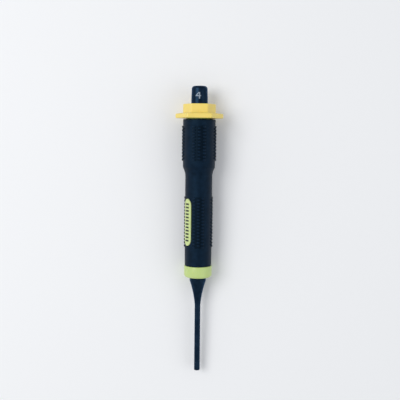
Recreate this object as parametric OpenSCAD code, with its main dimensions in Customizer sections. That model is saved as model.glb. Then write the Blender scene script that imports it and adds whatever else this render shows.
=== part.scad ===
// Pin punch with a two-material handle. A forged steel bar runs right through: drift pin,
// flare, shank and head in one piece. A hard core is moulded round the shank, a soft knurled
// sleeve is moulded over the core, an oval badge lies in a pocket of the sleeve, and a
// six-sided hand guard is pressed on the core's spigot.
// The tool lies along Y, with the middle of the pin's tip at the origin. One flat of the
// guard faces down, and the front, with the badge on its left, faces up. The pieces are drawn
// standing along Z, with the front towards -Y, and laid down as the last step.

/* [Punch bar] */
// Diameter of the drift pin, which is the size of the punch
pin_d = 4; // [2.5:0.5:6]
// Length of the parallel drift pin
pin_len = 47; // [25:1:80]
// Chamfer round the tip of the pin
tip_chamfer = 0.2; // [0.1:0.05:0.4]
// Length of the concave flare from the pin to the shank
flare_len = 17.5; // [12:0.5:24]
// Angle at which the flare leaves the pin, in degrees
flare_lead = 5; // [2:0.5:6]
// Diameter of the shank
shank_d = 11.4; // [10.4:0.1:12.2]
// Bare shank between the flare and the handle
bare_len = 2.5; // [1:0.5:8]
// Length of the two flats that key the shank in the handle
key_len = 24; // [12:1:40]
// Depth of each keying flat
key_depth = 0.8; // [0.4:0.1:1.2]
// Length of the head above the guard
head_len = 12.35; // [12:0.05:20]
// Length over which the head narrows
head_taper_len = 9; // [6:0.5:11]
// How much narrower the striking end is than the shank
head_narrow = 0.5; // [0.2:0.1:1]
// Radius of the rim round the striking face
rim_r = 2; // [1:0.1:2.6]

/* [Handle core] */
// Diameter of the ring that shows below the sleeve
ring_d = 19.4; // [18.4:0.1:20.8]
// Length of the ring
ring_len = 8.1; // [6:0.1:12]
// Radius of the ring's rounded lower edge
ring_nose_r = 2; // [1:0.1:2.6]
// Radius of the ring's upper edge
ring_edge_r = 0.4; // [0.2:0.1:0.8]
// Diameter of the seat that carries the guard
seat_d = 20.2; // [18.6:0.1:21]
// Height of the seat, a shadow gap between the sleeve and the guard
seat_h = 0.6; // [0.4:0.1:1.2]
// Diameter of the spigot inside the guard
spigot_d = 15.4; // [14.4:0.1:16.6]

/* [Grip sleeve] */
// Thickness of the soft sleeve over the core
sleeve_wall = 2; // [1.6:0.1:2.4]
// Radius of the sleeve's two end edges
sleeve_edge_r = 0.6; // [0.3:0.1:1]
// Diameter at the sleeve's lower end
tail_d = 18.6; // [18:0.1:19.8]
// Length of the plain stretch at the lower end
tail_len = 12.9; // [8:0.1:20]
// Diameter at the waist and under the lower knurl
grip_d = 18.8; // [18:0.1:19.8]
// Length of the plain waist
waist_len = 14.6; // [8:0.1:24]
// Length of the shoulder, where the sleeve widens
shoulder_len = 5.5; // [4:0.1:9]
// Angle at which the shoulder leaves the waist, in degrees
shoulder_lead = 8; // [4:0.5:10]
// Diameter at the top of the shoulder
shoulder_d = 22.3; // [21.6:0.1:22.7]
// Length of the plain band between the shoulder and the upper knurl
band_len = 4.1; // [2:0.1:8]
// Diameter under the upper knurl
fore_d = 22.4; // [21.8:0.1:23.2]
// Diameter of the plain neck under the guard
neck_d = 22.5; // [21.9:0.1:23.6]
// Length of the neck
neck_len = 4.3; // [3:0.05:8]

/* [Knurl] */
// Distance from one row of knobs to the next
knurl_pitch = 2.25; // [1.8:0.05:3]
// Columns of knobs round the handle, an even number and the same in both fields
knurl_columns = 20; // [16:2:24]
// Height of a knob in the lower field
low_knob_h = 0.6; // [0.3:0.05:0.9]
// Height of a knob in the upper field
high_knob_h = 0.8; // [0.3:0.05:1]
// Rows of knobs in the lower field
low_rows = 16; // [16:1:20]
// Rows of knobs in the upper field
high_rows = 11; // [6:1:14]

/* [Badge] */
// Length of the badge along the handle
badge_len = 32.8; // [20:0.1:35]
// Width of the badge, straight across
badge_w = 7.6; // [6:0.1:9]
// Length of each tapering end of the badge
badge_end = 4.8; // [3.8:0.1:8]
// Thickness of the badge
badge_t = 1; // [0.6:0.1:1.2]
// How far the badge stands out of the plain sleeve
badge_proud = 0.2; // [0:0.05:0.4]
// Angle of the badge from the front, clockwise from above, in degrees
badge_turn = 56; // [0:1:180]
// Plain sleeve left on each side of the badge
badge_margin = 0.9; // [0.6:0.1:3]

/* [Hand guard] */
// Size of the flange across its flats
flange_af = 29; // [26.5:0.1:34]
// Radius of the flange's corners
flange_corner_r = 1.5; // [0.6:0.1:3]
// Thickness of the flange at its edge
flange_edge_t = 3.1; // [2.2:0.1:3.6]
// Thickness of the flange where it meets the collar
flange_t = 3.8; // [3.7:0.1:5]
// Size of the collar across its flats
collar_af = 19.8; // [18.8:0.1:22]
// Radius of the collar's corners
collar_corner_r = 1; // [0.5:0.1:2]
// Height of the collar above the flange
collar_h = 6; // [5:0.1:10]
// Radius of the guard's edges
guard_edge_r = 0.5; // [0.2:0.1:0.9]
// Thickness of the guard's top over the spigot
guard_lip = 2; // [1.2:0.1:3]

/* [Fit] */
// Clearance between two moulded pieces
mould_gap = 0.05; // [0.02:0.01:0.08]
// Clearance round the badge, which shows as a dark line
badge_gap = 0.25; // [0.1:0.05:0.4]

/* [Hidden] */
$fn = 96;

// How far a cutting shape runs past what it cuts
overrun = 1;
// How far the ends of a knurl field are sunk in the plain sleeve beside it
knurl_sink = 0.12;
// How deep the plain sleeve is cut back under a knurl field
knurl_bed = 0.9;
// Steps in a long curve, in a rounded edge and in the corner of a six-sided outline
curve_steps = 12;
edge_steps = 4;
corner_steps = 4;
oval_steps = 8;

pin_r = pin_d / 2;
shank_r = shank_d / 2;
head_r = shank_r - head_narrow / 2;
grip_r = grip_d / 2;
fore_r = fore_d / 2;

// Heights on the tool's axis
handle_z = pin_len + flare_len + bare_len;
sleeve_z = handle_z + ring_len;
low_z = sleeve_z + tail_len;
waist_z = low_z + low_rows * knurl_pitch;
shoulder_z = waist_z + waist_len;
band_z = shoulder_z + shoulder_len;
high_z = band_z + band_len;
neck_z = high_z + high_rows * knurl_pitch;
seat_z = neck_z + neck_len;
guard_z = seat_z + seat_h;
guard_h = flange_t + collar_h;
spigot_len = guard_h - guard_lip;
tool_len = guard_z + guard_h + head_len;
badge_z = (low_z + waist_z) / 2;
key_z = (sleeve_z + seat_z) / 2;

badge_r = grip_r + badge_proud;
front = -90;
badge_direction = front - badge_turn;
// Half the angle that stays plain about the badge
badge_field = asin((badge_w / 2 + badge_margin) / grip_r);

// Arc from a to b whose middle lies sag to the left of the chord
function arc(a, b, sag, steps) =
    let (along = (b - a) / norm(b - a),
         left = [-along.y, along.x],
         h = norm(b - a) / 2,
         r = (h * h + sag * sag) / (2 * sag),
         centre = (a + b) / 2 + left * (sag - r),
         half = asin(h / r))
    [for (i = [0:steps])
        let (t = half * (2 * i / steps - 1))
        centre + r * (left * cos(t) + along * sin(t))];

// Concave arc of an outline [radius, height] that leaves a at an angle from the axis
function swell(a, b, lead, steps) =
    let (turn = atan2(b.x - a.x, b.y - a.y) - lead)
    arc(a, b, norm(b - a) / 2 * tan(turn / 2), steps);

// Quarter round of radius r about an outer corner of an outline, from a to b
function quarter(a, b, r, steps) = arc(a, b, -r * (1 - sqrt(1 / 2)), steps);

// Outline of the sleeve's plain outer surface, drawn in by inset. With a bed the surface is
// cut back under the two knurl fields.
function sleeve_outline(inset, bed) = concat(
    [[tail_d / 2 - inset, sleeve_z]],
    [[grip_r - inset, low_z + bed * knurl_sink],
     [grip_r - inset - bed * knurl_bed, low_z + bed * knurl_sink],
     [grip_r - inset - bed * knurl_bed, waist_z - bed * knurl_sink],
     [grip_r - inset, waist_z - bed * knurl_sink]],
    swell([grip_r - inset, shoulder_z], [shoulder_d / 2 - inset, band_z], shoulder_lead, curve_steps),
    [[fore_r - inset, high_z + bed * knurl_sink],
     [fore_r - inset - bed * knurl_bed, high_z + bed * knurl_sink],
     [fore_r - inset - bed * knurl_bed, neck_z - bed * knurl_sink],
     [fore_r - inset, neck_z - bed * knurl_sink],
     [neck_d / 2 - inset, neck_z + bed * knurl_sink],
     [neck_d / 2 - inset, seat_z]]);

// Six-sided outline with round corners, one flat facing the front
function hexagon(af, r) =
    [for (k = [0:5], i = [0:corner_steps])
        let (turn = 60 * k - 30 + 60 * i / corner_steps)
        (af / 2 - r) / cos(30) * [cos(60 * k), sin(60 * k)] + r * [cos(turn), sin(turn)]];

// Badge outline, half ovals on the ends of a straight-sided middle, wider by grow all round
function badge_outline(grow) =
    let (half_w = badge_w / 2 + grow,
         half_len = badge_len / 2 + grow,
         end = badge_end + grow)
    [for (side = [1, -1], i = [0:2 * oval_steps])
        let (turn = 90 * (i / oval_steps - (side > 0 ? 0 : -2)))
        [half_w * cos(turn), side * (half_len - end) + end * sin(turn)]];

// Solid between rings of equal numbers of points, given from the bottom up
module loft(rings) {
    n = len(rings[0]);
    top = len(rings) - 1;
    points = [for (ring = rings) each ring];
    sides = [for (i = [0:top - 1], j = [0:n - 1])
        let (k = (j + 1) % n)
        each [[i * n + j, (i + 1) * n + j, (i + 1) * n + k],
              [i * n + j, (i + 1) * n + k, i * n + k]]];
    ends = [[for (j = [0:n - 1]) j],
            [for (j = [n - 1:-1:0]) top * n + j]];
    polyhedron(points, concat(sides, ends));
}

// Field of four-sided knobs on a round body of radius r. The columns are staggered, and the
// column at the front starts with a whole gap. Within plain degrees of the direction there are
// no knobs.
module knurl(r, z, rows, knob_h, direction = 0, plain = 0) {
    n = 2 * knurl_columns;
    steps = 2 * rows;
    function off(a) = abs((a - direction + 900) % 360 - 180);
    // The grid has a line through each column and one between each two columns
    function knob(i, j) = j % 2 == 0 && (i + j / 2) % 2 == 0;
    function lift(i, j) =
        i == 0 || i == steps ? -knurl_sink :
        knob(i, j) && off(front + 360 * j / n) > plain ? knob_h : 0;
    points = [for (i = [0:steps], j = [0:n - 1])
        let (turn = front + 360 * j / n)
        [(r + lift(i, j)) * cos(turn), (r + lift(i, j)) * sin(turn), z + i * knurl_pitch / 2]];
    // Each square of the grid is split along the line that joins the knob's two neighbours
    sides = [for (i = [0:steps - 1], j = [0:n - 1])
        let (k = (j + 1) % n,
             a = i * n + j, b = i * n + k, c = (i + 1) * n + k, d = (i + 1) * n + j)
        each knob(i, j) || knob(i + 1, k) ? [[a, d, b], [b, d, c]] : [[a, c, b], [a, d, c]]];
    ends = [[for (j = [0:n - 1]) j],
            [for (j = [n - 1:-1:0]) steps * n + j]];
    polyhedron(points, concat(sides, ends));
}

// The two flats of the shank as blocks of what is milled away, each drawn in by gap
module key_blocks(gap) {
    flat_y = shank_r - key_depth + gap;
    for (side = [1, -1])
        translate([-shank_r, side > 0 ? flat_y : -flat_y - shank_r, key_z - key_len / 2 + gap])
            cube([shank_d, shank_r, key_len - 2 * gap]);
}

// Lays an upright piece down on its back, with the striking face towards +Y
module lay_down() {
    rotate([-90, 0, 0])
        children();
}

// Bar of the badge's outline, from inside the core to outside the sleeve
module badge_bar(grow) {
    rotate([0, 0, badge_direction])
        translate([0, 0, badge_z])
            rotate([90, 0, 90])
                linear_extrude(badge_r + overrun)
                    polygon(badge_outline(grow));
}

module punch_bar() {
    color([0.13, 0.2, 0.27]) lay_down()
        difference() {
            rotate_extrude()
                polygon(concat(
                    [[0, 0], [pin_r - tip_chamfer, 0], [pin_r, tip_chamfer]],
                    swell([pin_r, pin_len], [shank_r, pin_len + flare_len], flare_lead, curve_steps),
                    [[shank_r, tool_len - head_taper_len]],
                    quarter([head_r, tool_len - rim_r], [head_r - rim_r, tool_len], rim_r, edge_steps),
                    [[0, tool_len]]));
            key_blocks(0);
        }
}

module handle_core() {
    ring_r = ring_d / 2;
    color([0.78, 0.86, 0.45]) lay_down()
        difference() {
            rotate_extrude()
                polygon(concat(
                    [[0, handle_z]],
                    quarter([ring_r - ring_nose_r, handle_z], [ring_r, handle_z + ring_nose_r],
                        ring_nose_r, edge_steps),
                    quarter([ring_r, sleeve_z - ring_edge_r], [ring_r - ring_edge_r, sleeve_z],
                        ring_edge_r, edge_steps),
                    sleeve_outline(sleeve_wall + mould_gap, 0),
                    [[seat_d / 2, seat_z],
                     [seat_d / 2, guard_z],
                     [spigot_d / 2, guard_z],
                     [spigot_d / 2, guard_z + spigot_len - mould_gap],
                     [0, guard_z + spigot_len - mould_gap]]));
            difference() {
                translate([0, 0, handle_z - overrun])
                    cylinder(r = shank_r + mould_gap, h = guard_z + guard_h - handle_z + overrun);
                key_blocks(mould_gap);
            }
        }
}

module grip_sleeve() {
    tail_r = tail_d / 2;
    neck_r = neck_d / 2;
    color([0.1, 0.13, 0.18]) lay_down()
        difference() {
            union() {
                rotate_extrude()
                    polygon(concat(
                        [[0, sleeve_z + mould_gap]],
                        quarter([tail_r - sleeve_edge_r, sleeve_z + mould_gap],
                            [tail_r, sleeve_z + mould_gap + sleeve_edge_r], sleeve_edge_r, edge_steps),
                        [for (p = sleeve_outline(0, 1)) if (p.y > sleeve_z && p.y < seat_z) p],
                        quarter([neck_r, seat_z - mould_gap - sleeve_edge_r],
                            [neck_r - sleeve_edge_r, seat_z - mould_gap], sleeve_edge_r, edge_steps),
                        [[0, seat_z - mould_gap]]));
                knurl(grip_r, low_z, low_rows, low_knob_h, badge_direction, badge_field);
                knurl(fore_r, high_z, high_rows, high_knob_h);
            }
            rotate_extrude()
                polygon(concat(
                    [[0, sleeve_z - overrun], [tail_r - sleeve_wall, sleeve_z - overrun]],
                    sleeve_outline(sleeve_wall, 0),
                    [[neck_r - sleeve_wall, seat_z + overrun], [0, seat_z + overrun]]));
            difference() {
                badge_bar(badge_gap);
                cylinder(r = badge_r - badge_t - mould_gap, h = seat_z);
            }
        }
}

module badge() {
    color([0.8, 0.86, 0.5]) lay_down()
        intersection() {
            badge_bar(0);
            translate([0, 0, low_z])
                difference() {
                    cylinder(r = badge_r, h = waist_z - low_z);
                    translate([0, 0, -overrun])
                        cylinder(r = badge_r - badge_t, h = waist_z - low_z + 2 * overrun);
                }
        }
}

module hand_guard() {
    // Rings of a six-sided body: height, size across the flats and corner radius
    function ring(z, af, r) = [for (p = hexagon(af, r)) [p.x, p.y, guard_z + z]];
    // Rings round an outer edge of the body, from its side to its flat end
    function edge(z, up, af, r) =
        [for (i = [0:edge_steps])
            let (turn = 90 * (up > 0 ? i : edge_steps - i) / edge_steps,
                 inset = guard_edge_r * (1 - cos(turn)))
            ring(z + up * guard_edge_r * sin(turn), af - 2 * inset, r - inset / 2)];
    color([0.95, 0.82, 0.36]) lay_down()
        difference() {
            loft(concat(
                edge(guard_edge_r, -1, flange_af, flange_corner_r),
                edge(flange_edge_t - guard_edge_r, 1, flange_af, flange_corner_r),
                [ring(flange_t, collar_af, collar_corner_r)],
                edge(guard_h - guard_edge_r, 1, collar_af, collar_corner_r)));
            translate([0, 0, guard_z - overrun])
                cylinder(r = spigot_d / 2 + mould_gap, h = spigot_len + overrun);
            translate([0, 0, guard_z])
                cylinder(r = shank_r + mould_gap, h = guard_h + overrun);
        }
}

punch_bar();
handle_core();
grip_sleeve();
badge();
hand_guard();
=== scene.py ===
"""A pin punch with a knurled two-material handle and a hexagonal hand guard, lying on its back.

The frame has the tool along +Y, with the middle of the pin's tip at the origin and the front
facing up. Each piece is drawn upright in millimetres, with the tool along Z and the front
towards -Y, and is then laid down in the frame.
"""
import math

import bmesh
import bpy
from mathutils import Matrix, Vector


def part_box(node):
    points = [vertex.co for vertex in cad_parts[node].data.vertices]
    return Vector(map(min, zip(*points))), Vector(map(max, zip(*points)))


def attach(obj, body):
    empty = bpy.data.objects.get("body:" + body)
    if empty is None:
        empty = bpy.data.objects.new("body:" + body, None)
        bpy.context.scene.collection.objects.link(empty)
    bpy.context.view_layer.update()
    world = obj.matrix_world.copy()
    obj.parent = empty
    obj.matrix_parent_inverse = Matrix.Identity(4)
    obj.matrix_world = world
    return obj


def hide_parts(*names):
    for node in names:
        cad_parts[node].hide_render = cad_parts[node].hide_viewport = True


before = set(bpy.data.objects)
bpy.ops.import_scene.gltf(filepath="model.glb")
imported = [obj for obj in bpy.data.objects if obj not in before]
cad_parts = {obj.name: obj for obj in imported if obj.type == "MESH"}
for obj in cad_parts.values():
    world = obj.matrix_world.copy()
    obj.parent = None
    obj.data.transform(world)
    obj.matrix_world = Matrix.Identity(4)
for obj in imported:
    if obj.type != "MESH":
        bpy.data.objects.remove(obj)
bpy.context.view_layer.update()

# Punch bar
# One turned bar of tool steel, hardened and blackened: drift pin, concave flare, shank and head.
# The handle is moulded round the shank, and the size of the pin is stamped on the head.
MM = 0.001
FRONT = math.radians(-90)
TOOL_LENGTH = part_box("punch_bar")[1].y / MM
SHANK_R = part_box("punch_bar")[1].x / MM
PIN_R = 2.0
PIN_LENGTH = 47.0
PIN_CHAMFER = 0.2
FLARE_LENGTH = 17.5
FLARE_LEAD = math.radians(5)
HEAD_TAPER = 0.25
HEAD_R = SHANK_R - HEAD_TAPER
HEAD_TAPER_LENGTH = 9.0
HEAD_RIM_R = 2.0
BAR_SEGMENTS = 128
FLARE_STEPS = 24
RIM_STEPS = 12
STAMP_WIDTH = 4.0
STAMP_HEIGHT = 5.2
STAMP_DEPTH = 0.16
STAMP_X = -1.0
STAMP_BELOW_FACE = 6.3
STAMP_Z = TOOL_LENGTH - STAMP_BELOW_FACE
STAMP_OVERRUN = 1.0
STAMP_SLICE = 0.3
STEEL_COLOUR = (0.004, 0.012, 0.026, 1)
STEEL_WORN = (0.013, 0.030, 0.058, 1)
STAMP_COLOUR = (0.30, 0.36, 0.43, 1)
STAMP_SHADE = (0.20, 0.25, 0.31, 1)


def arc(start, end, bulge, steps):
    """Points of an arc from start to end. Its middle lies bulge to the left of the straight line."""
    start = Vector(start)
    end = Vector(end)
    half = (end - start).length / 2
    along = (end - start).normalized()
    left = Vector((-along.y, along.x))
    radius = (half * half + bulge * bulge) / (2 * bulge)
    centre = (start + end) / 2 + left * (bulge - radius)
    spread = math.asin(half / radius)
    points = []
    for i in range(steps + 1):
        turn = spread * (2 * i / steps - 1)
        points.append(centre + radius * (left * math.cos(turn) + along * math.sin(turn)))
    return points


def swell(start, end, lead, steps):
    """Concave arc of an outline [radius, height] that leaves its start at an angle to the axis."""
    rise = Vector(end) - Vector(start)
    turn = math.atan2(rise.x, rise.y) - lead
    return arc(start, end, rise.length / 2 * math.tan(turn / 2), steps)


def quarter(start, end, radius, steps):
    """Quarter circle round an outer corner of an outline."""
    return arc(start, end, -radius * (1 - math.sqrt(0.5)), steps)


def ruled_rings(rings, closed=False):
    """Mesh between rings of equal numbers of points. A ring may be a single point at a pole."""
    shape = bmesh.new()
    count = max(len(ring) for ring in rings)
    layers = []
    for ring in rings:
        corners = [shape.verts.new(point) for point in ring]
        layers.append(corners if len(corners) == count else corners * count)
    following = layers[1:] + layers[:1] if closed else layers[1:]
    for low, high in zip(layers, following):
        for i in range(count):
            j = (i + 1) % count
            shape.faces.new(dict.fromkeys((low[i], low[j], high[j], high[i])))
    return shape


def revolve(outline, segments, closed=False):
    """Mesh turned about Z from an outline of [radius, height] points."""
    turns = [FRONT + math.tau * i / segments for i in range(segments)]
    rings = []
    for radius, height in outline:
        around = turns if radius else turns[:1]
        rings.append([(radius * math.cos(turn), radius * math.sin(turn), height) for turn in around])
    return ruled_rings(rings, closed)


def finish_piece(name, shape, materials, node, crease=32):
    """Lays an upright shape down in the frame as a smooth piece with sharp creases."""
    shape.transform(Matrix.Scale(MM, 4) @ Matrix.Rotation(math.radians(-90), 4, "X"))
    for face in shape.faces:
        face.smooth = True
    for edge in shape.edges:
        edge.smooth = len(edge.link_faces) < 2 or edge.calc_face_angle() < math.radians(crease)
    data = bpy.data.meshes.new(name)
    shape.to_mesh(data)
    shape.free()
    piece = bpy.data.objects.new(name, data)
    bpy.context.scene.collection.objects.link(piece)
    for material in materials:
        data.materials.append(material)
    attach(piece, "root")
    if node:
        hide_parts(node)
    return piece


def cut_away(shape, cutter):
    """Cuts one mesh out of another. The cut faces keep the cutter's material index."""
    objects = []
    for name, part in (("cut_from", shape), ("cut_with", cutter)):
        data = bpy.data.meshes.new(name)
        part.to_mesh(data)
        part.free()
        objects.append(bpy.data.objects.new(name, data))
        bpy.context.scene.collection.objects.link(objects[-1])
    body, tool = objects
    cut = body.modifiers.new("cut", "BOOLEAN")
    cut.operation = "DIFFERENCE"
    cut.solver = "EXACT"
    cut.object = tool
    bpy.context.view_layer.update()
    depsgraph = bpy.context.evaluated_depsgraph_get()
    result = bpy.data.meshes.new_from_object(body.evaluated_get(depsgraph))
    cut_shape = bmesh.new()
    cut_shape.from_mesh(result)
    for item in objects:
        bpy.data.objects.remove(item)
    bpy.data.meshes.remove(result)
    return cut_shape


def size_stamp():
    """The figure 4, bent round the head and reaching from the stamp's floor to outside the head."""
    curve = bpy.data.curves.new("stamp_figure", "FONT")
    curve.body = "4"
    letter = bpy.data.objects.new("stamp_figure", curve)
    flat = bmesh.new()
    flat.from_mesh(letter.to_mesh())
    letter.to_mesh_clear()
    bpy.data.objects.remove(letter)
    low = Vector((min(v.co.x for v in flat.verts), min(v.co.y for v in flat.verts)))
    high = Vector((max(v.co.x for v in flat.verts), max(v.co.y for v in flat.verts)))
    for vert in flat.verts:
        across = (vert.co.x - low.x) / (high.x - low.x)
        share = Vector((across, (vert.co.y - low.y) / (high.y - low.y)))
        vert.co = ((share.x - 0.5) * STAMP_WIDTH, (share.y - 0.5) * STAMP_HEIGHT, -STAMP_DEPTH)
    slices = int(STAMP_WIDTH / STAMP_SLICE)
    for i in range(1, slices):
        place = Vector(((i / slices - 0.5) * STAMP_WIDTH, 0, 0))
        parts = flat.verts[:] + flat.edges[:] + flat.faces[:]
        bmesh.ops.bisect_plane(flat, geom=parts, plane_co=place, plane_no=(1, 0, 0))
    walls = bmesh.ops.extrude_face_region(flat, geom=flat.faces[:])
    for item in walls["geom"]:
        if isinstance(item, bmesh.types.BMVert):
            item.co.z = STAMP_OVERRUN
    bmesh.ops.recalc_face_normals(flat, faces=flat.faces)
    for vert in flat.verts:
        radius = SHANK_R + vert.co.z
        turn = FRONT + (STAMP_X + vert.co.x) / SHANK_R
        vert.co = (radius * math.cos(turn), radius * math.sin(turn), STAMP_Z + vert.co.y)
    for face in flat.faces:
        face.material_index = 1
    return flat


def blackened_steel():
    """Blue-black oxide over fine turning marks that run round the bar, slightly worn."""
    material = bpy.data.materials.new("blackened_steel")
    material.use_nodes = True
    nodes = material.node_tree.nodes
    links = material.node_tree.links
    shader = nodes["Principled BSDF"]
    shader.inputs["Metallic"].default_value = 0.7
    shader.inputs["Specular IOR Level"].default_value = 0.4
    shader.inputs["Specular Tint"].default_value = (0.3, 0.6, 1.0, 1)
    place = nodes.new("ShaderNodeTexCoord")
    cloud = nodes.new("ShaderNodeTexNoise")
    cloud.inputs["Scale"].default_value = 260
    cloud.inputs["Detail"].default_value = 6
    colour = nodes.new("ShaderNodeValToRGB")
    colour.color_ramp.elements[0].position = 0.35
    colour.color_ramp.elements[0].color = STEEL_COLOUR
    colour.color_ramp.elements[1].position = 0.85
    colour.color_ramp.elements[1].color = STEEL_WORN
    rough = nodes.new("ShaderNodeMapRange")
    rough.inputs["To Min"].default_value = 0.30
    rough.inputs["To Max"].default_value = 0.46
    squeeze = nodes.new("ShaderNodeMapping")
    squeeze.inputs["Scale"].default_value = (40, 5200, 40)
    marks = nodes.new("ShaderNodeTexNoise")
    marks.inputs["Scale"].default_value = 1
    marks.inputs["Detail"].default_value = 3
    bump = nodes.new("ShaderNodeBump")
    bump.inputs["Strength"].default_value = 0.35
    bump.inputs["Distance"].default_value = 0.00002
    links.new(place.outputs["Object"], cloud.inputs["Vector"])
    links.new(place.outputs["Object"], squeeze.inputs["Vector"])
    links.new(squeeze.outputs["Vector"], marks.inputs["Vector"])
    links.new(cloud.outputs["Fac"], colour.inputs["Fac"])
    links.new(colour.outputs["Color"], shader.inputs["Base Color"])
    links.new(cloud.outputs["Fac"], rough.inputs["Value"])
    links.new(rough.outputs["Result"], shader.inputs["Roughness"])
    links.new(marks.outputs["Fac"], bump.inputs["Height"])
    links.new(bump.outputs["Normal"], shader.inputs["Normal"])
    return material


def stamped_steel():
    """Bare steel on the floor of the stamp, where the oxide has been rubbed off."""
    material = bpy.data.materials.new("stamped_steel")
    material.use_nodes = True
    nodes = material.node_tree.nodes
    links = material.node_tree.links
    shader = nodes["Principled BSDF"]
    shader.inputs["Metallic"].default_value = 0.3
    shader.inputs["Roughness"].default_value = 0.55
    place = nodes.new("ShaderNodeTexCoord")
    cloud = nodes.new("ShaderNodeTexNoise")
    cloud.inputs["Scale"].default_value = 900
    colour = nodes.new("ShaderNodeValToRGB")
    colour.color_ramp.elements[0].position = 0.3
    colour.color_ramp.elements[0].color = STAMP_SHADE
    colour.color_ramp.elements[1].position = 0.6
    colour.color_ramp.elements[1].color = STAMP_COLOUR
    links.new(place.outputs["Object"], cloud.inputs["Vector"])
    links.new(cloud.outputs["Fac"], colour.inputs["Fac"])
    links.new(colour.outputs["Color"], shader.inputs["Base Color"])
    return material


shank_z = PIN_LENGTH + FLARE_LENGTH
taper_z = TOOL_LENGTH - HEAD_TAPER_LENGTH
rim_z = TOOL_LENGTH - HEAD_RIM_R
face_r = HEAD_R - HEAD_RIM_R
bar_outline = [(0, 0), (PIN_R - PIN_CHAMFER, 0), (PIN_R, PIN_CHAMFER)]
bar_outline += swell((PIN_R, PIN_LENGTH), (SHANK_R, shank_z), FLARE_LEAD, FLARE_STEPS)
bar_outline += [(SHANK_R, taper_z)]
bar_outline += quarter((HEAD_R, rim_z), (face_r, TOOL_LENGTH), HEAD_RIM_R, RIM_STEPS)
bar_outline += [(0, TOOL_LENGTH)]
stamped_bar = cut_away(revolve(bar_outline, BAR_SEGMENTS), size_stamp())
finish_piece("steel_bar", stamped_bar, [blackened_steel(), stamped_steel()], "punch_bar")

# Handle core
# Hard lime plastic moulded round the shank. Its ring closes the handle below the sleeve, its
# body carries the sleeve, and its spigot carries the guard.
CORE_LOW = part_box("handle_core")[0].y / MM
CORE_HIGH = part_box("handle_core")[1].y / MM
SLEEVE_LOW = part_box("grip_sleeve")[0].y / MM
SLEEVE_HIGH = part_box("grip_sleeve")[1].y / MM
GUARD_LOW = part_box("hand_guard")[0].y / MM
GUARD_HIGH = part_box("hand_guard")[1].y / MM
RING_R = 9.7
RING_NOSE_R = 2.0
RING_EDGE_R = 0.4
SEAT_R = 9.0
SPIGOT_R = 7.7
WALL_GAP = 0.05
SLEEVE_WALL = 2.0
TAIL_R = 9.3
TAIL_LENGTH = 12.9
GRIP_R = 9.4
WAIST_LENGTH = 14.6
SHOULDER_LENGTH = 5.5
SHOULDER_LEAD = math.radians(8)
BAND_R = 11.15
BAND_LENGTH = 4.1
FORE_R = 11.2
NECK_R = 11.25
KNURL_PITCH = 2.25
LOW_ROWS = 16
HIGH_ROWS = 11
CORE_SEGMENTS = 120
RING_NOSE_STEPS = 10
RING_EDGE_STEPS = 6
CORE_SHOULDER_STEPS = 12
LIME_COLOUR = (0.56, 0.70, 0.25, 1)
CLOUD_SHADE = (0.94, 0.94, 0.92)
POLISH_BELOW = 0.05
POLISH_ABOVE = 0.08

low_z = SLEEVE_LOW - WALL_GAP + TAIL_LENGTH
waist_z = low_z + LOW_ROWS * KNURL_PITCH
shoulder_z = waist_z + WAIST_LENGTH
band_z = shoulder_z + SHOULDER_LENGTH
high_z = band_z + BAND_LENGTH
neck_z = high_z + HIGH_ROWS * KNURL_PITCH
core_skin = SLEEVE_WALL + WALL_GAP
ring_top = SLEEVE_LOW - WALL_GAP


def moulded_plastic(name, colour, roughness, glow, scale):
    """Smooth moulded plastic: light enters a little, with faint flow clouds and a fine grain."""
    material = bpy.data.materials.new(name)
    material.use_nodes = True
    nodes = material.node_tree.nodes
    links = material.node_tree.links
    shader = nodes["Principled BSDF"]
    shader.inputs["IOR"].default_value = 1.49
    shader.inputs["Subsurface Weight"].default_value = glow
    shader.inputs["Subsurface Radius"].default_value = (1.0, 0.7, 0.25)
    shader.inputs["Subsurface Scale"].default_value = 0.0015
    place = nodes.new("ShaderNodeTexCoord")
    cloud = nodes.new("ShaderNodeTexNoise")
    cloud.inputs["Scale"].default_value = scale
    cloud.inputs["Detail"].default_value = 4
    tint = nodes.new("ShaderNodeValToRGB")
    tint.color_ramp.elements[0].position = 0.3
    tint.color_ramp.elements[0].color = (*[a * b for a, b in zip(colour, CLOUD_SHADE)], 1)
    tint.color_ramp.elements[1].position = 0.7
    tint.color_ramp.elements[1].color = colour
    rough = nodes.new("ShaderNodeMapRange")
    rough.inputs["To Min"].default_value = roughness - POLISH_BELOW
    rough.inputs["To Max"].default_value = roughness + POLISH_ABOVE
    grain = nodes.new("ShaderNodeTexNoise")
    grain.inputs["Scale"].default_value = 3000
    grain.inputs["Detail"].default_value = 2
    bump = nodes.new("ShaderNodeBump")
    bump.inputs["Strength"].default_value = 0.2
    bump.inputs["Distance"].default_value = 0.00001
    links.new(place.outputs["Object"], cloud.inputs["Vector"])
    links.new(place.outputs["Object"], grain.inputs["Vector"])
    links.new(cloud.outputs["Fac"], tint.inputs["Fac"])
    links.new(tint.outputs["Color"], shader.inputs["Base Color"])
    links.new(cloud.outputs["Fac"], rough.inputs["Value"])
    links.new(rough.outputs["Result"], shader.inputs["Roughness"])
    links.new(grain.outputs["Fac"], bump.inputs["Height"])
    links.new(bump.outputs["Normal"], shader.inputs["Normal"])
    return material


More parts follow.
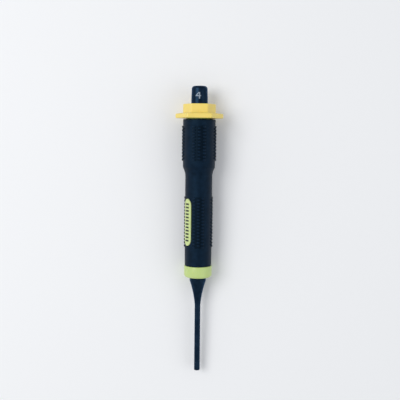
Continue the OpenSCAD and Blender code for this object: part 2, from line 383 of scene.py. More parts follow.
core_outline = [(SHANK_R + WALL_GAP, CORE_LOW)]
nose_start = (RING_R - RING_NOSE_R, CORE_LOW)
nose_end = (RING_R, CORE_LOW + RING_NOSE_R)
core_outline += quarter(nose_start, nose_end, RING_NOSE_R, RING_NOSE_STEPS)
edge_start = (RING_R, ring_top - RING_EDGE_R)
edge_end = (RING_R - RING_EDGE_R, ring_top)
core_outline += quarter(edge_start, edge_end, RING_EDGE_R, RING_EDGE_STEPS)
core_outline += [(TAIL_R - core_skin, ring_top), (GRIP_R - core_skin, low_z)]
shoulder_start = (GRIP_R - core_skin, shoulder_z)
shoulder_end = (BAND_R - core_skin, band_z)
core_outline += swell(shoulder_start, shoulder_end, SHOULDER_LEAD, CORE_SHOULDER_STEPS)
core_outline += [(FORE_R - core_skin, high_z), (FORE_R - core_skin, neck_z)]
core_outline += [(NECK_R - core_skin, neck_z), (NECK_R - core_skin, SLEEVE_HIGH + WALL_GAP)]
core_outline += [(SEAT_R, SLEEVE_HIGH + WALL_GAP), (SEAT_R, GUARD_LOW)]
core_outline += [(SPIGOT_R, GUARD_LOW), (SPIGOT_R, CORE_HIGH), (SHANK_R + WALL_GAP, CORE_HIGH)]
lime_plastic = moulded_plastic("lime_plastic", LIME_COLOUR, roughness=0.30, glow=0.15, scale=180)
core_shape = revolve(core_outline, CORE_SEGMENTS, closed=True)
finish_piece("lime_core", core_shape, [lime_plastic], "handle_core")

# Grip sleeve
# Black soft plastic moulded over the core. Each of its two fields has four panels of staggered
# round knobs and plain strips between them. The badge lies in a pocket of one of the strips.
SLEEVE_EDGE_R = 0.6
SLEEVE_EDGE_STEPS = 6
SLEEVE_SEGMENTS = 80
SHOULDER_STEPS = 16
BORE_SHOULDER_STEPS = 12
NECK_STEP = 0.15
CELL_SEAM = 0.005
FIELD_SEAM = 0.01
KNURL_COLUMNS = 20
LOW_KNOB_HEIGHT = 0.6
HIGH_KNOB_HEIGHT = 0.8
KNOB_REACH = 0.74
KNOB_RINGS = ((1.0, 0.0), (0.88, 0.62), (0.6, 0.96))
KNOB_SIDE_STEPS = 4
KNURL_PANELS = 4
PANEL_HALF_ANGLE = math.radians(27)
BADGE_LENGTH = 32.8
BADGE_WIDTH = 7.6
BADGE_END = 4.8
BADGE_THICKNESS = 1.0
BADGE_R = 9.6
BADGE_GAP = 0.25
BADGE_PROUD = 0.2
POCKET_FLARE = 0.3
BADGE_TURN = math.radians(56)
BADGE_MARGIN = 0.9
PLATE_INSETS = (3.6, 2.4, 1.2)
POCKET_OVERRUN = 1.0
OVAL_STEPS = 24
# The dark end of the rubber's colour also carries the painted shade between knobs; the pale end
# carries random pale patches and the painted highlight on knob tops
RUBBER_COLOUR = (0.0006, 0.0018, 0.0040, 1)
RUBBER_PALE_TONE_AND_HIGHLIGHT = (0.0048, 0.0135, 0.0300, 1)
# Strength of the painted shade between knobs and the painted highlight on their tops, for each field
LOW_KNOB_PAINTED_SHADE = 0.8
HIGH_KNOB_PAINTED_SHADE = 0.58
FIELD_FADE = 0.8
EVEN_RISE = 0.6

badge_direction = FRONT - BADGE_TURN
badge_z = (low_z + waist_z) / 2
bare_half_angle = math.asin((BADGE_WIDTH / 2 + BADGE_MARGIN) / GRIP_R)
across_steps = SLEEVE_SEGMENTS // KNURL_COLUMNS


def soft_black_plastic():
    """Black soft plastic with a bluish satin sheen, a fine grain, painted shade between its knobs and
    a painted highlight on their tops.
    """
    material = bpy.data.materials.new("soft_black_plastic")
    material.use_nodes = True
    nodes = material.node_tree.nodes
    links = material.node_tree.links

    def maths(operation, *values):
        made = nodes.new("ShaderNodeMath")
        made.operation = operation
        for socket, value in zip(made.inputs, values):
            if isinstance(value, bpy.types.NodeSocket):
                links.new(value, socket)
            else:
                socket.default_value = value
        return made.outputs[0]

    shader = nodes["Principled BSDF"]
    shader.inputs["IOR"].default_value = 1.45
    shader.inputs["Specular IOR Level"].default_value = 0.28
    shader.inputs["Specular Tint"].default_value = (0.25, 0.58, 1.0, 1)
    place = nodes.new("ShaderNodeTexCoord")
    cloud = nodes.new("ShaderNodeTexNoise")
    cloud.inputs["Scale"].default_value = 320
    cloud.inputs["Detail"].default_value = 5
    tint = nodes.new("ShaderNodeValToRGB")
    tint.color_ramp.elements[0].position = 0.15
    tint.color_ramp.elements[0].color = RUBBER_COLOUR
    tint.color_ramp.elements[1].position = 0.85
    tint.color_ramp.elements[1].color = RUBBER_PALE_TONE_AND_HIGHLIGHT
    rough = nodes.new("ShaderNodeMapRange")
    rough.inputs["To Min"].default_value = 0.44
    rough.inputs["To Max"].default_value = 0.60
    axes = nodes.new("ShaderNodeSeparateXYZ")
    square_x = maths("MULTIPLY", axes.outputs["X"], axes.outputs["X"])
    square_z = maths("MULTIPLY", axes.outputs["Z"], axes.outputs["Z"])
    radius = maths("SQRT", maths("ADD", square_x, square_z))
    turn = maths("ARCTAN2", axes.outputs["X"], axes.outputs["Z"])
    strip = math.pi / KNURL_PANELS
    off_panel = maths("ABSOLUTE", maths("WRAP", turn, strip, -strip))
    # In the panels the colour is painted darker below EVEN_RISE of a knob's height, as shade between
    # the knobs, and paler above it, as a highlight on their tops
    tone_and_knob_shade = cloud.outputs["Fac"]
    for low, rows, base, height, contrast in (
        (low_z, LOW_ROWS, GRIP_R, LOW_KNOB_HEIGHT, LOW_KNOB_PAINTED_SHADE),
        (high_z, HIGH_ROWS, FORE_R, HIGH_KNOB_HEIGHT, HIGH_KNOB_PAINTED_SHADE),
    ):
        half = rows * KNURL_PITCH / 2
        away = maths("ABSOLUTE", maths("SUBTRACT", axes.outputs["Y"], (low + half) * MM))
        rise = maths("DIVIDE", maths("SUBTRACT", radius, base * MM), height * MM)
        inside = maths("DIVIDE", maths("SUBTRACT", half * MM, away), FIELD_FADE * MM)
        beside = maths("MULTIPLY", maths("SUBTRACT", PANEL_HALF_ANGLE, off_panel), base / FIELD_FADE)
        inside = maths("MINIMUM", inside, beside)
        fade = maths("MINIMUM", maths("MAXIMUM", inside, 0), 1)
        gap = maths("MULTIPLY", maths("SUBTRACT", EVEN_RISE, rise), fade)
        tone_and_knob_shade = maths("SUBTRACT", tone_and_knob_shade, maths("MULTIPLY", gap, contrast))
    grain = nodes.new("ShaderNodeTexNoise")
    grain.inputs["Scale"].default_value = 5200
    grain.inputs["Detail"].default_value = 3
    bump = nodes.new("ShaderNodeBump")
    bump.inputs["Strength"].default_value = 0.5
    bump.inputs["Distance"].default_value = 0.000025
    links.new(place.outputs["Object"], cloud.inputs["Vector"])
    links.new(place.outputs["Object"], grain.inputs["Vector"])
    links.new(place.outputs["Object"], axes.inputs["Vector"])
    links.new(tone_and_knob_shade, tint.inputs["Fac"])
    links.new(tint.outputs["Color"], shader.inputs["Base Color"])
    links.new(cloud.outputs["Fac"], rough.inputs["Value"])
    links.new(rough.outputs["Result"], shader.inputs["Roughness"])
    links.new(grain.outputs["Fac"], bump.inputs["Height"])
    links.new(bump.outputs["Normal"], shader.inputs["Normal"])
    return material


def knob_cell(step, knob_height):
    """One knob on the flat rectangle of surface that belongs to it."""
    half_x = step / 2
    half_y = KNURL_PITCH / 2
    border = []
    for i in range(across_steps):
        border.append(Vector((-half_x + step * i / across_steps, -half_y, 0)))
    for i in range(KNOB_SIDE_STEPS):
        border.append(Vector((half_x, -half_y + KNURL_PITCH * i / KNOB_SIDE_STEPS, 0)))
    rings = [border + [-p for p in border]]
    for share, lift in KNOB_RINGS:
        ring = []
        for p in rings[0]:
            turn = math.atan2(p.y / half_y, p.x / half_x)
            reach = KNOB_REACH * share
            across = half_x * reach * math.cos(turn)
            along = half_y * reach * math.sin(turn)
            ring.append((across, along, knob_height * lift))
        rings.append(ring)
    rings.append([(0, 0, knob_height)])
    return ruled_rings(rings)


def knurl_tree():
    """Geometry nodes that set the knob cell in staggered columns and bend the field round Z."""
    tree = bpy.data.node_groups.new("knurl_field", "GeometryNodeTree")
    sockets = (
        ("Cell", "NodeSocketGeometry"),
        ("Columns", "NodeSocketInt"),
        ("Rows", "NodeSocketInt"),
        ("Across steps", "NodeSocketInt"),
        ("Side steps", "NodeSocketInt"),
        ("Step", "NodeSocketFloat"),
        ("Pitch", "NodeSocketFloat"),
        ("Radius", "NodeSocketFloat"),
        ("Start turn", "NodeSocketFloat"),
        ("Panels", "NodeSocketInt"),
        ("Panel turn", "NodeSocketFloat"),
        ("Panel half angle", "NodeSocketFloat"),
        ("Bare turn", "NodeSocketFloat"),
        ("Bare half angle", "NodeSocketFloat"),
        ("Material", "NodeSocketMaterial"),
    )
    for name, kind in sockets:
        tree.interface.new_socket(name, in_out="INPUT", socket_type=kind)
    tree.interface.new_socket("Field", in_out="OUTPUT", socket_type="NodeSocketGeometry")
    given = tree.nodes.new("NodeGroupInput").outputs
    result = tree.nodes.new("NodeGroupOutput")

    def connect(node, values):
        for socket, value in values.items():
            if isinstance(value, bpy.types.NodeSocket):
                tree.links.new(value, node.inputs[socket])
            else:
                node.inputs[socket].default_value = value
        return node

    def maths(operation, *values):
        node = tree.nodes.new("ShaderNodeMath")
        node.operation = operation
        return connect(node, dict(enumerate(values))).outputs[0]

    def node(kind, values):
        return connect(tree.nodes.new(kind), values)

    def scatter(count, x, y, shape, chosen):
        spot = node("ShaderNodeCombineXYZ", {"X": x, "Y": y})
        points = node("GeometryNodePoints", {"Count": count, "Position": spot.outputs["Vector"]})
        values = {"Points": points.outputs[0], "Instance": shape, "Selection": chosen}
        return node("GeometryNodeInstanceOnPoints", values).outputs["Instances"]

    index = tree.nodes.new("GeometryNodeInputIndex").outputs["Index"]
    height = maths("MULTIPLY", given["Rows"], given["Pitch"])

    # Whole cells: a column with an odd number starts half a pitch higher and has one cell fewer
    column = maths("FLOORED_MODULO", index, given["Columns"])
    row = maths("FLOOR", maths("DIVIDE", index, given["Columns"]))
    odd = maths("FLOORED_MODULO", column, 2)
    cell_x = maths("MULTIPLY", column, given["Step"])
    cell_row = maths("ADD", maths("ADD", row, 0.5), maths("MULTIPLY", odd, 0.5))
    cell_y = maths("MULTIPLY", cell_row, given["Pitch"])
    inside = maths("LESS_THAN", cell_row, maths("SUBTRACT", given["Rows"], 0.25))
    count = maths("MULTIPLY", given["Columns"], given["Rows"])
    cells = scatter(count, cell_x, cell_y, given["Cell"], inside)

    # Plain half cells close both ends of the odd columns
    end_column = maths("ADD", maths("MULTIPLY", maths("FLOOR", maths("DIVIDE", index, 2)), 2), 1)
    end_x = maths("MULTIPLY", end_column, given["Step"])
    quarter_pitch = maths("MULTIPLY", given["Pitch"], 0.25)
    end_rise = maths("SUBTRACT", height, maths("MULTIPLY", quarter_pitch, 2))
    end_y = maths("ADD", quarter_pitch, maths("MULTIPLY", maths("FLOORED_MODULO", index, 2), end_rise))
    plate_values = {
        "Size X": given["Step"],
        "Size Y": maths("MULTIPLY", quarter_pitch, 2),
        "Vertices X": maths("ADD", given["Across steps"], 1),
        "Vertices Y": maths("ADD", maths("DIVIDE", given["Side steps"], 2), 1),
    }
    plate = node("GeometryNodeMeshGrid", plate_values).outputs["Mesh"]
    plates = scatter(given["Columns"], end_x, end_y, plate, True)

    # A cell keeps its knob where its middle lies in a panel and away from the badge
    joined = tree.nodes.new("GeometryNodeJoinGeometry")
    tree.links.new(cells, joined.inputs[0])
    tree.links.new(plates, joined.inputs[0])
    place = node("ShaderNodeSeparateXYZ", {0: tree.nodes.new("GeometryNodeInputPosition").outputs[0]})
    span = maths("MULTIPLY", given["Columns"], given["Step"])
    share = maths("DIVIDE", place.outputs["X"], span)
    turn = maths("ADD", maths("MULTIPLY", share, math.tau), given["Start turn"])
    from_badge = maths("SUBTRACT", turn, given["Bare turn"])
    away = maths("ABSOLUTE", maths("WRAP", from_badge, math.pi, -math.pi))
    strip = maths("DIVIDE", math.pi, given["Panels"])
    strip_below = maths("MULTIPLY", strip, -1)
    from_front = maths("SUBTRACT", turn, given["Panel turn"])
    off_panel = maths("ABSOLUTE", maths("WRAP", from_front, strip, strip_below))
    in_panel = maths("LESS_THAN", off_panel, given["Panel half angle"])
    keep = maths("MULTIPLY", in_panel, maths("GREATER_THAN", away, given["Bare half angle"]))
    kept = tree.nodes.new("GeometryNodeCaptureAttribute")
    kept.domain = "INSTANCE"
    kept.capture_items.new("FLOAT", "Keep")
    connect(kept, {"Geometry": joined.outputs[0], "Keep": keep})
    real = node("GeometryNodeRealizeInstances", {"Geometry": kept.outputs["Geometry"]})

    # The flat field is bent round the sleeve, and its cells are joined
    radius = maths("ADD", given["Radius"], maths("MULTIPLY", place.outputs["Z"], kept.outputs["Keep"]))
    bent_values = {
        "X": maths("MULTIPLY", radius, maths("COSINE", turn)),
        "Y": maths("MULTIPLY", radius, maths("SINE", turn)),
        "Z": place.outputs["Y"],
    }
    bent = node("ShaderNodeCombineXYZ", bent_values)
    moved = node("GeometryNodeSetPosition", {"Geometry": real.outputs[0], "Position": bent.outputs[0]})
    merge_values = {"Geometry": moved.outputs[0], "Distance": CELL_SEAM}
    merged = node("GeometryNodeMergeByDistance", merge_values)
    paint_values = {"Geometry": merged.outputs[0], "Material": given["Material"]}
    painted = node("GeometryNodeSetMaterial", paint_values)
    tree.links.new(painted.outputs[0], result.inputs["Field"])
    return tree


def grown_mesh(tree, seed, sizes):
    """The plain mesh that a tree of geometry nodes grows from a seed mesh."""
    carrier = bpy.data.objects.new("carrier", seed)
    bpy.context.scene.collection.objects.link(carrier)
    growth = carrier.modifiers.new("growth", "NODES")
    growth.node_group = tree
    for item in tree.interface.items_tree:
        if item.name in sizes and item.in_out == "INPUT":
            growth[item.identifier] = sizes[item.name]
    bpy.context.view_layer.update()
    depsgraph = bpy.context.evaluated_depsgraph_get()
    grown = bpy.data.meshes.new_from_object(carrier.evaluated_get(depsgraph))
    bpy.data.objects.remove(carrier)
    bpy.data.meshes.remove(seed)
    return grown


def knurl_field(tree, material, radius, base_z, rows, knob_height, bare):
    """The mesh of one field of knobs, standing on base_z."""
    step = math.tau * radius / KNURL_COLUMNS
    data = bpy.data.meshes.new("knob_cell")
    cell = knob_cell(step, knob_height)
    cell.to_mesh(data)
    cell.free()
    sizes = {
        "Columns": KNURL_COLUMNS,
        "Rows": rows,
        "Across steps": across_steps,
        "Side steps": KNOB_SIDE_STEPS,
        "Step": step,
        "Pitch": KNURL_PITCH,
        "Radius": radius,
        "Start turn": FRONT + math.tau / KNURL_COLUMNS,
        "Panels": KNURL_PANELS,
        "Panel turn": FRONT,
        "Panel half angle": PANEL_HALF_ANGLE,
        "Bare turn": badge_direction,
        "Bare half angle": bare,
        "Material": material,
    }
    field = grown_mesh(tree, data, sizes)
    field.transform(Matrix.Translation((0, 0, base_z)))
    return field


def oval(inset):
    """Outline of the badge from above, in [across, along], drawn in by inset."""
    half_width = BADGE_WIDTH / 2 - inset
    half_length = BADGE_LENGTH / 2 - inset
    end = BADGE_END - inset
    points = []
    for side in (1, -1):
        for i in range(OVAL_STEPS + 1):
            turn = math.pi * (i / OVAL_STEPS + (0 if side > 0 else 1))
            along = side * (half_length - end) + end * math.sin(turn)
            points.append((half_width * math.cos(turn), along))
    return points


def wrap_on_sleeve(rings):
    """Bends rings of [across, along, out] points round the sleeve at the badge's place."""
    bent = []
    for ring in rings:
        bent.append([])
        for across, along, out in ring:
            radius = BADGE_R + out
            turn = badge_direction + across / BADGE_R
            bent[-1].append((radius * math.cos(turn), radius * math.sin(turn), badge_z + along))
    return bent


def pocket_cutter():
    """Solid that cuts the badge's pocket: the badge's oval, wider by the gap, with a flat rim."""
    floor = -BADGE_THICKNESS - WALL_GAP
    mouth = -BADGE_GAP - POCKET_FLARE
    levels = [(inset, floor) for inset in PLATE_INSETS]
    levels += [(-BADGE_GAP, floor), (-BADGE_GAP, -BADGE_PROUD - POCKET_FLARE)]
    levels += [(mouth, -BADGE_PROUD), (mouth, POCKET_OVERRUN)]
    levels += [(inset, POCKET_OVERRUN) for inset in reversed(PLATE_INSETS)]
    rings = []
    for inset, out in levels:
        rings.append([(x, y, out) for x, y in oval(inset)])
    shape = ruled_rings(wrap_on_sleeve(rings))
    open_edges = [edge for edge in shape.edges if edge.is_boundary]
    bmesh.ops.holes_fill(shape, edges=open_edges, sides=0)
    bmesh.ops.recalc_face_normals(shape, faces=shape.faces)
    return shape


soft_black = soft_black_plastic()
knurl_nodes = knurl_tree()
tail_start = (TAIL_R - SLEEVE_EDGE_R, SLEEVE_LOW)
tail_end = (TAIL_R, SLEEVE_LOW + SLEEVE_EDGE_R)
lower_outline = [(TAIL_R - SLEEVE_WALL, SLEEVE_LOW)]
lower_outline += quarter(tail_start, tail_end, SLEEVE_EDGE_R, SLEEVE_EDGE_STEPS)
lower_outline += [(GRIP_R, low_z)]
middle_outline = [(GRIP_R, waist_z)]
middle_outline += swell((GRIP_R, shoulder_z), (BAND_R, band_z), SHOULDER_LEAD, SHOULDER_STEPS)
middle_outline += [(FORE_R, high_z)]
neck_start = (NECK_R, SLEEVE_HIGH - SLEEVE_EDGE_R)
neck_end = (NECK_R - SLEEVE_EDGE_R, SLEEVE_HIGH)
upper_outline = [(FORE_R, neck_z), (NECK_R, neck_z + NECK_STEP)]
upper_outline += quarter(neck_start, neck_end, SLEEVE_EDGE_R, SLEEVE_EDGE_STEPS)
upper_outline += [(NECK_R - SLEEVE_WALL, SLEEVE_HIGH), (NECK_R - SLEEVE_WALL, neck_z)]
upper_outline += [(FORE_R - SLEEVE_WALL, neck_z), (FORE_R - SLEEVE_WALL, high_z)]
bore_start = (GRIP_R - SLEEVE_WALL, shoulder_z)
bore_end = (BAND_R - SLEEVE_WALL, band_z)
upper_outline += swell(bore_start, bore_end, SHOULDER_LEAD, BORE_SHOULDER_STEPS)[::-1]
upper_outline += [(GRIP_R - SLEEVE_WALL, low_z), (TAIL_R - SLEEVE_WALL, SLEEVE_LOW)]
sleeve_shape = bmesh.new()
for outline in (lower_outline, middle_outline, upper_outline):
    plain = revolve(outline, SLEEVE_SEGMENTS)
    plain_data = bpy.data.meshes.new("plain")
    plain.to_mesh(plain_data)
    plain.free()
    sleeve_shape.from_mesh(plain_data)
    bpy.data.meshes.remove(plain_data)
for field in (
    knurl_field(knurl_nodes, soft_black, GRIP_R, low_z, LOW_ROWS, LOW_KNOB_HEIGHT, bare_half_angle),
    knurl_field(knurl_nodes, soft_black, FORE_R, high_z, HIGH_ROWS, HIGH_KNOB_HEIGHT, 0.0),
):
    sleeve_shape.from_mesh(field)
    bpy.data.meshes.remove(field)
bmesh.ops.remove_doubles(sleeve_shape, verts=sleeve_shape.verts, dist=FIELD_SEAM)
bmesh.ops.recalc_face_normals(sleeve_shape, faces=sleeve_shape.faces)
sleeve_shape = cut_away(sleeve_shape, pocket_cutter())
finish_piece("knurled_sleeve", sleeve_shape, [soft_black], "grip_sleeve", crease=50)

# Badge
# A thin oval plate of lime plastic, curved to the sleeve and lying in its pocket. Its rim is
# rounded, and a row of plain dark bars is printed on its sunk panel.
BADGE_EDGE_R = 0.35
BADGE_EDGE_STEPS = 6
BACK_INSETS = (*PLATE_INSETS, 0.3, 0)
PANEL_INSET = 0.85
PANEL_DEPTH = 0.1
PANEL_INSETS = (PANEL_INSET + PANEL_DEPTH, 1.5, 2.4, 3.1, 3.6)
BADGE_COLOUR = (0.62, 0.73, 0.31, 1)
BAR_COUNT = 12
BAR_PITCH = 2.3
BAR_ACROSS = 3.7
BAR_ALONG = 1.15
BAR_THICKNESS = 0.04
BAR_CUTS = 7
INK_COLOUR = (0.005, 0.012, 0.006, 1)


def bar_tree():
    """Geometry nodes that set a row of bars along the badge and bend them round Z."""
    tree = bpy.data.node_groups.new("badge_bars", "GeometryNodeTree")
    sockets = (
        ("Bar", "NodeSocketGeometry"),
        ("Count", "NodeSocketInt"),
        ("Pitch", "NodeSocketFloat"),
        ("First height", "NodeSocketFloat"),
        ("Across", "NodeSocketFloat"),
        ("Along", "NodeSocketFloat"),
        ("Thickness", "NodeSocketFloat"),
        ("Cuts", "NodeSocketInt"),
        ("Radius", "NodeSocketFloat"),
        ("Turn", "NodeSocketFloat"),
        ("Material", "NodeSocketMaterial"),
    )
    for name, kind in sockets:
        tree.interface.new_socket(name, in_out="INPUT", socket_type=kind)
    tree.interface.new_socket("Bars", in_out="OUTPUT", socket_type="NodeSocketGeometry")
    given = tree.nodes.new("NodeGroupInput").outputs
    result = tree.nodes.new("NodeGroupOutput")

    def node(kind, values):
        made = tree.nodes.new(kind)
        for socket, value in values.items():
            if isinstance(value, bpy.types.NodeSocket):
                tree.links.new(value, made.inputs[socket])
            else:
                made.inputs[socket].default_value = value
        return made

    def maths(operation, *values):
        made = node("ShaderNodeMath", dict(enumerate(values)))
        made.operation = operation
        return made.outputs[0]

    size_values = {"X": given["Across"], "Y": given["Along"], "Z": given["Thickness"]}
    size = node("ShaderNodeCombineXYZ", size_values)
    cube_values = {"Size": size.outputs[0], "Vertices X": given["Cuts"]}
    cube = node("GeometryNodeMeshCube", cube_values).outputs["Mesh"]
    step = node("ShaderNodeCombineXYZ", {"Y": given["Pitch"]})
    start = node("ShaderNodeCombineXYZ", {"Y": given["First height"]})
    line_values = {
        "Count": given["Count"],
        "Start Location": start.outputs[0],
        "Offset": step.outputs[0],
    }
    line = node("GeometryNodeMeshLine", line_values).outputs["Mesh"]
    placed = node("GeometryNodeInstanceOnPoints", {"Points": line, "Instance": cube})
    bars = placed.outputs["Instances"]
    real = node("GeometryNodeRealizeInstances", {"Geometry": bars}).outputs["Geometry"]
    place = node("ShaderNodeSeparateXYZ", {0: tree.nodes.new("GeometryNodeInputPosition").outputs[0]})
    radius = maths("ADD", given["Radius"], place.outputs["Z"])
    turn = maths("ADD", given["Turn"], maths("DIVIDE", place.outputs["X"], given["Radius"]))
    bent_values = {
        "X": maths("MULTIPLY", radius, maths("COSINE", turn)),
        "Y": maths("MULTIPLY", radius, maths("SINE", turn)),
        "Z": place.outputs["Y"],
    }
    bent = node("ShaderNodeCombineXYZ", bent_values)
    moved = node("GeometryNodeSetPosition", {"Geometry": real, "Position": bent.outputs[0]})
    paint_values = {"Geometry": moved.outputs[0], "Material": given["Material"]}
    painted = node("GeometryNodeSetMaterial", paint_values)
    tree.links.new(painted.outputs[0], result.inputs["Bars"])
    return tree


badge_rings = []
for inset in BACK_INSETS:
    badge_rings.append([(x, y, -BADGE_THICKNESS) for x, y in oval(inset)])
for i in range(BADGE_EDGE_STEPS + 1):
    turn = math.radians(90) * i / BADGE_EDGE_STEPS
    inset = BADGE_EDGE_R * (1 - math.cos(turn))
    out = -BADGE_EDGE_R * (1 - math.sin(turn))
    badge_rings.append([(x, y, out) for x, y in oval(inset)])
badge_rings.append([(x, y, 0.0) for x, y in oval(PANEL_INSET)])
for inset in PANEL_INSETS:
    badge_rings.append([(x, y, -PANEL_DEPTH) for x, y in oval(inset)])
badge_shape = ruled_rings(wrap_on_sleeve(badge_rings))
badge_ends = [edge for edge in badge_shape.edges if edge.is_boundary]
bmesh.ops.holes_fill(badge_shape, edges=badge_ends, sides=0)
bmesh.ops.recalc_face_normals(badge_shape, faces=badge_shape.faces)
badge_plastic = moulded_plastic("badge_plastic", BADGE_COLOUR, roughness=0.28, glow=0.1, scale=400)
finish_piece("oval_badge", badge_shape, [badge_plastic], "badge")

dark_ink = moulded_plastic("dark_ink", INK_COLOUR, roughness=0.40, glow=0.0, scale=500)
bar_sizes = {
    "Count": BAR_COUNT,
    "Pitch": BAR_PITCH,
    "First height": badge_z - (BAR_COUNT - 1) * BAR_PITCH / 2,
    "Across": BAR_ACROSS,
    "Along": BAR_ALONG,
    "Thickness": BAR_THICKNESS,
    "Cuts": BAR_CUTS,
    "Radius": BADGE_R - PANEL_DEPTH + BAR_THICKNESS / 2,
    "Turn": badge_direction,
    "Material": dark_ink,
}
bar_shape = bmesh.new()
bar_mesh = grown_mesh(bar_tree(), bpy.data.meshes.new("badge_bars"), bar_sizes)
bar_shape.from_mesh(bar_mesh)
bpy.data.meshes.remove(bar_mesh)
finish_piece("badge_bars", bar_shape, [dark_ink], "")

# Hand guard
# Orange-yellow impact-resistant plastic in one moulding: a hexagonal flange that shields the
# hand and stops the tool from rolling, and a smaller hexagonal collar. It is pressed on the spigot.
FLANGE_AF = 29.0
FLANGE_CORNER_R = 1.5
FLANGE_EDGE_T = 3.1
FLANGE_T = 3.8
COLLAR_AF = 19.8
COLLAR_CORNER_R = 1.0
GUARD_EDGE_R = 0.5
GUARD_EDGE_STEPS = 4
GUARD_LIP = 2.0
BORE_CHAMFER = 0.25
COLLAR_FOOT = ((0.7, 0.1, -0.06), (0.2, 0.0, 0.05), (0.0, 0.0, 0.3))
CORNER_STEPS = 8
FLAT_STEPS = 10
YELLOW_COLOUR = (0.93, 0.72, 0.17, 1)


def hexagon(across_flats, corner_r, height):
    """Six-sided ring with round corners and one flat facing the front."""
    ring = []
    reach = (across_flats / 2 - corner_r) / math.cos(math.radians(30))
    for corner in range(6):
        middle = math.radians(60 * corner)
        centre = Vector((math.cos(middle), math.sin(middle))) * reach
        for i in range(CORNER_STEPS + 1):
            turn = middle + math.radians(60) * (i / CORNER_STEPS - 0.5)
            ring.append((*(centre + Vector((math.cos(turn), math.sin(turn))) * corner_r), height))
        for i in range(1, FLAT_STEPS):
            along = Vector((-math.sin(turn), math.cos(turn))) * (reach * i / FLAT_STEPS)
            ring.append((*(Vector(ring[-i][:2]) + along), height))
    return ring


def circle_like(ring, radius, height):
    """Round ring with its points in the directions of another ring's points."""
    return [(*(Vector(point[:2]).normalized() * radius), height) for point in ring]


guard_rings = []
for i in range(GUARD_EDGE_STEPS + 1):
    turn = math.radians(90) * i / GUARD_EDGE_STEPS
    inset = GUARD_EDGE_R * (1 - math.sin(turn))
    height = GUARD_LOW + GUARD_EDGE_R * (1 - math.cos(turn))
    guard_rings.append(hexagon(FLANGE_AF - 2 * inset, FLANGE_CORNER_R - inset / 2, height))
for i in range(GUARD_EDGE_STEPS + 1):
    turn = math.radians(90) * i / GUARD_EDGE_STEPS
    inset = GUARD_EDGE_R * (1 - math.cos(turn))
    height = GUARD_LOW + FLANGE_EDGE_T - GUARD_EDGE_R * (1 - math.sin(turn))
    guard_rings.append(hexagon(FLANGE_AF - 2 * inset, FLANGE_CORNER_R - inset / 2, height))
for wider, rounder, higher in COLLAR_FOOT:
    foot_z = GUARD_LOW + FLANGE_T + higher
    guard_rings.append(hexagon(COLLAR_AF + wider, COLLAR_CORNER_R + rounder, foot_z))
for i in range(GUARD_EDGE_STEPS + 1):
    turn = math.radians(90) * i / GUARD_EDGE_STEPS
    inset = GUARD_EDGE_R * (1 - math.cos(turn))
    height = GUARD_HIGH - GUARD_EDGE_R * (1 - math.sin(turn))
    guard_rings.append(hexagon(COLLAR_AF - 2 * inset, COLLAR_CORNER_R - inset / 2, height))
outer_ring = guard_rings[-1]
lip_low = GUARD_HIGH - GUARD_LIP
for radius, height in (
    (SHANK_R + WALL_GAP + BORE_CHAMFER, GUARD_HIGH),
    (SHANK_R + WALL_GAP, GUARD_HIGH - BORE_CHAMFER),
    (SHANK_R + WALL_GAP, lip_low),
    (SPIGOT_R + WALL_GAP, lip_low),
    (SPIGOT_R + WALL_GAP, GUARD_LOW),
):
    guard_rings.append(circle_like(outer_ring, radius, height))
guard_shape = ruled_rings(guard_rings, closed=True)
yellow_plastic = moulded_plastic("yellow_plastic", YELLOW_COLOUR, roughness=0.34, glow=0.12, scale=150)
finish_piece("yellow_guard", guard_shape, [yellow_plastic], "hand_guard", crease=28)

# Table
# A plain pale surface under the tool. The tool rests on the guard's lower flat and on the ring,
# so the surface leans by the small angle between them.
TABLE_SIZE = 6.0
TABLE_COLOUR = (0.93, 0.93, 0.93, 1)
TABLE_ROUGHNESS = 0.8
ring_foot = CORE_LOW + RING_NOSE_R
lean = math.atan2(FLANGE_AF / 2 - RING_R, GUARD_LOW + GUARD_EDGE_R - ring_foot)
table = bpy.data.objects.new("table", bpy.data.meshes.new("table"))
bpy.context.scene.collection.objects.link(table)
table_shape = bmesh.new()
bmesh.ops.create_grid(table_shape, x_segments=1, y_segments=1, size=TABLE_SIZE / 2)
table_shape.to_mesh(table.data)
table_shape.free()
table.location = (0, (GUARD_LOW + GUARD_EDGE_R) * MM, -FLANGE_AF / 2 * MM)
table.rotation_euler = (-lean, 0, 0)
table_paint = bpy.data.materials.new("table_paint")
table_paint.use_nodes = True
table_shader = table_paint.node_tree.nodes["Principled BSDF"]
table_shader.inputs["Base Color"].default_value = TABLE_COLOUR
table_shader.inputs["Roughness"].default_value = TABLE_ROUGHNESS
table.data.materials.append(table_paint)

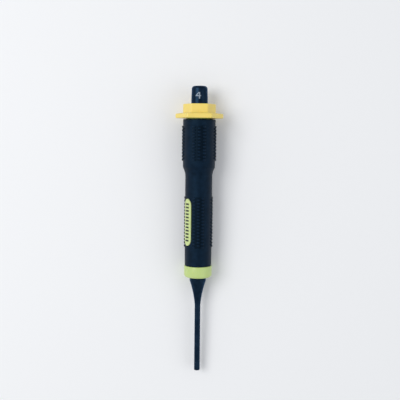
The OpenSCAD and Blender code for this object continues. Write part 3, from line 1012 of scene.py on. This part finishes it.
# Light
# A broad soft lamp on the left, a weaker one on the right, and a pale even sky.
KEY_PLACE = (-0.70, 0.35, 1.00)
KEY_SIZE = 0.7
KEY_POWER = 7.2
FILL_PLACE = (0.9, 0.0, 0.8)
FILL_SIZE = 0.8
FILL_POWER = 2.0
LAMP_AIM = Vector((0, 0.1, 0))
SKY_COLOUR = (0.92, 0.95, 1.0, 1)
SKY_STRENGTH = 0.55
for name, place, size, power in (
    ("key_lamp", KEY_PLACE, KEY_SIZE, KEY_POWER),
    ("fill_lamp", FILL_PLACE, FILL_SIZE, FILL_POWER),
):
    lamp = bpy.data.lights.new(name, "AREA")
    lamp.size = size
    lamp.energy = power
    holder = bpy.data.objects.new(name, lamp)
    bpy.context.scene.collection.objects.link(holder)
    holder.location = place
    holder.rotation_euler = (LAMP_AIM - Vector(place)).to_track_quat("-Z", "Y").to_euler()
sky = bpy.data.worlds.new("sky")
sky.use_nodes = True
sky.node_tree.nodes["Background"].inputs["Color"].default_value = SKY_COLOUR
sky.node_tree.nodes["Background"].inputs["Strength"].default_value = SKY_STRENGTH
bpy.context.scene.world = sky
bpy.context.scene.view_settings.view_transform = "Standard"

# Camera
# It looks down on the tool, nearer to the handle's upper half, and is turned a little so that the
# tool leans as it does in the photograph.
VIEW_HEIGHT = 0.27922
CAMERA_DISTANCE = 0.50
CAMERA_FOOT = 0.163
VIEW_CENTRE = (0.0010, 0.1212)
CAMERA_ROLL = math.radians(0.59)
SENSOR = 36.0
camera = bpy.data.objects.new("camera", bpy.data.cameras.new("camera"))
bpy.context.scene.collection.objects.link(camera)
camera.data.sensor_width = SENSOR
camera.location = (VIEW_CENTRE[0], CAMERA_FOOT, CAMERA_DISTANCE)
sight = Vector((VIEW_CENTRE[0], VIEW_CENTRE[1], 0)) - camera.location
camera.data.lens = SENSOR * sight.length / VIEW_HEIGHT
pitch = Matrix.Rotation(math.atan2(sight.y, -sight.z), 3, "X")
camera.rotation_euler = (pitch @ Matrix.Rotation(CAMERA_ROLL, 3, "Z")).to_euler()
camera.data.clip_start = 0.01
camera.data.clip_end = 20
bpy.context.scene.camera = camera
